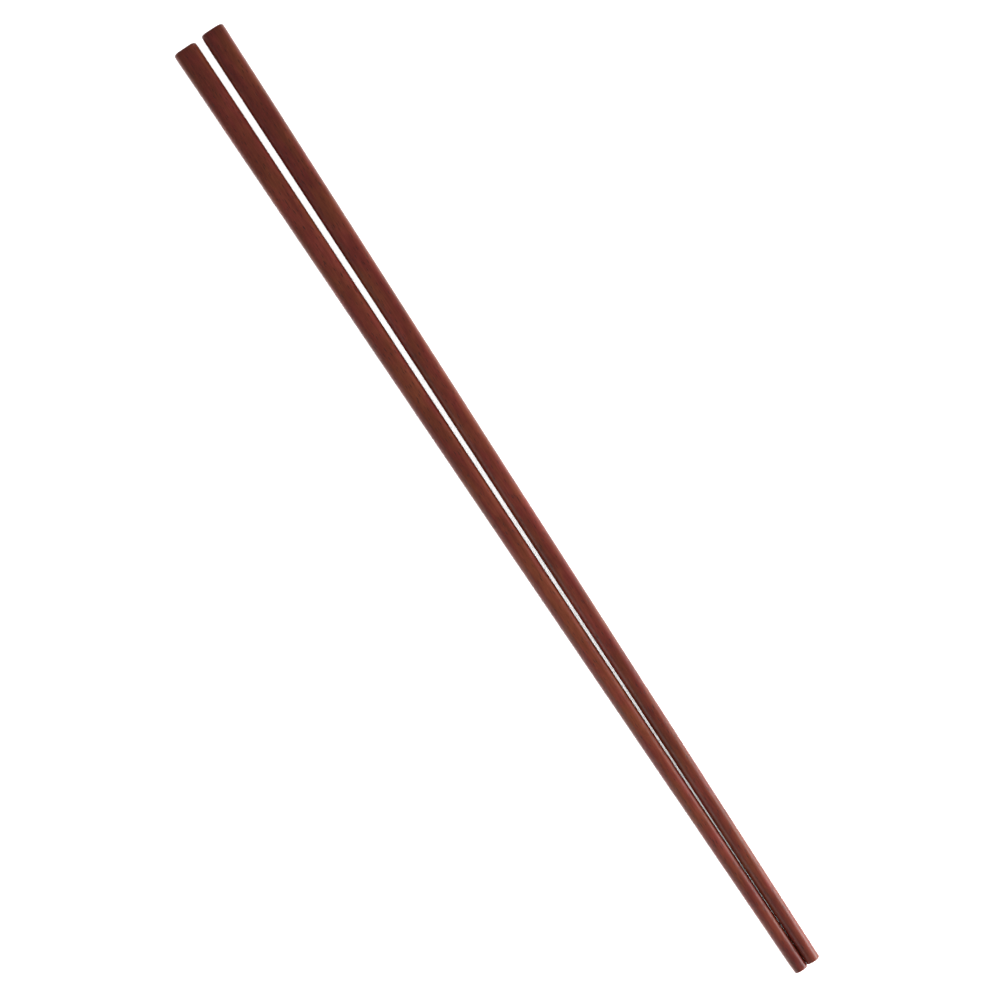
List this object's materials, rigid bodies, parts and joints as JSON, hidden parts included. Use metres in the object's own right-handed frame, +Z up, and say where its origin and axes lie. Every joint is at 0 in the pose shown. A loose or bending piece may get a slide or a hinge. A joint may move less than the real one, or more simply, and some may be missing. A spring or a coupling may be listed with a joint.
{
  "type": "pair of wooden chopsticks",
  "caption": "Slender hardwood chopsticks, a soft square at the head tapering evenly to a round tip, laid side by side with the tips together.",
  "frame": {"origin": "middle of the pair's footprint, on the surface that it lies on", "axes": "+X along the pair from the heads to the tips, +Y towards the right stick as seen from the tips, +Z up"},
  "size_m": [0.2703, 0.0142, 0.0062],
  "materials": {
    "oiled_hardwood": "satin"
  },
  "bodies": {
    "root": {"left_chopstick": "oiled_hardwood", "right_chopstick": "oiled_hardwood"}
  },
  "joints": []
}
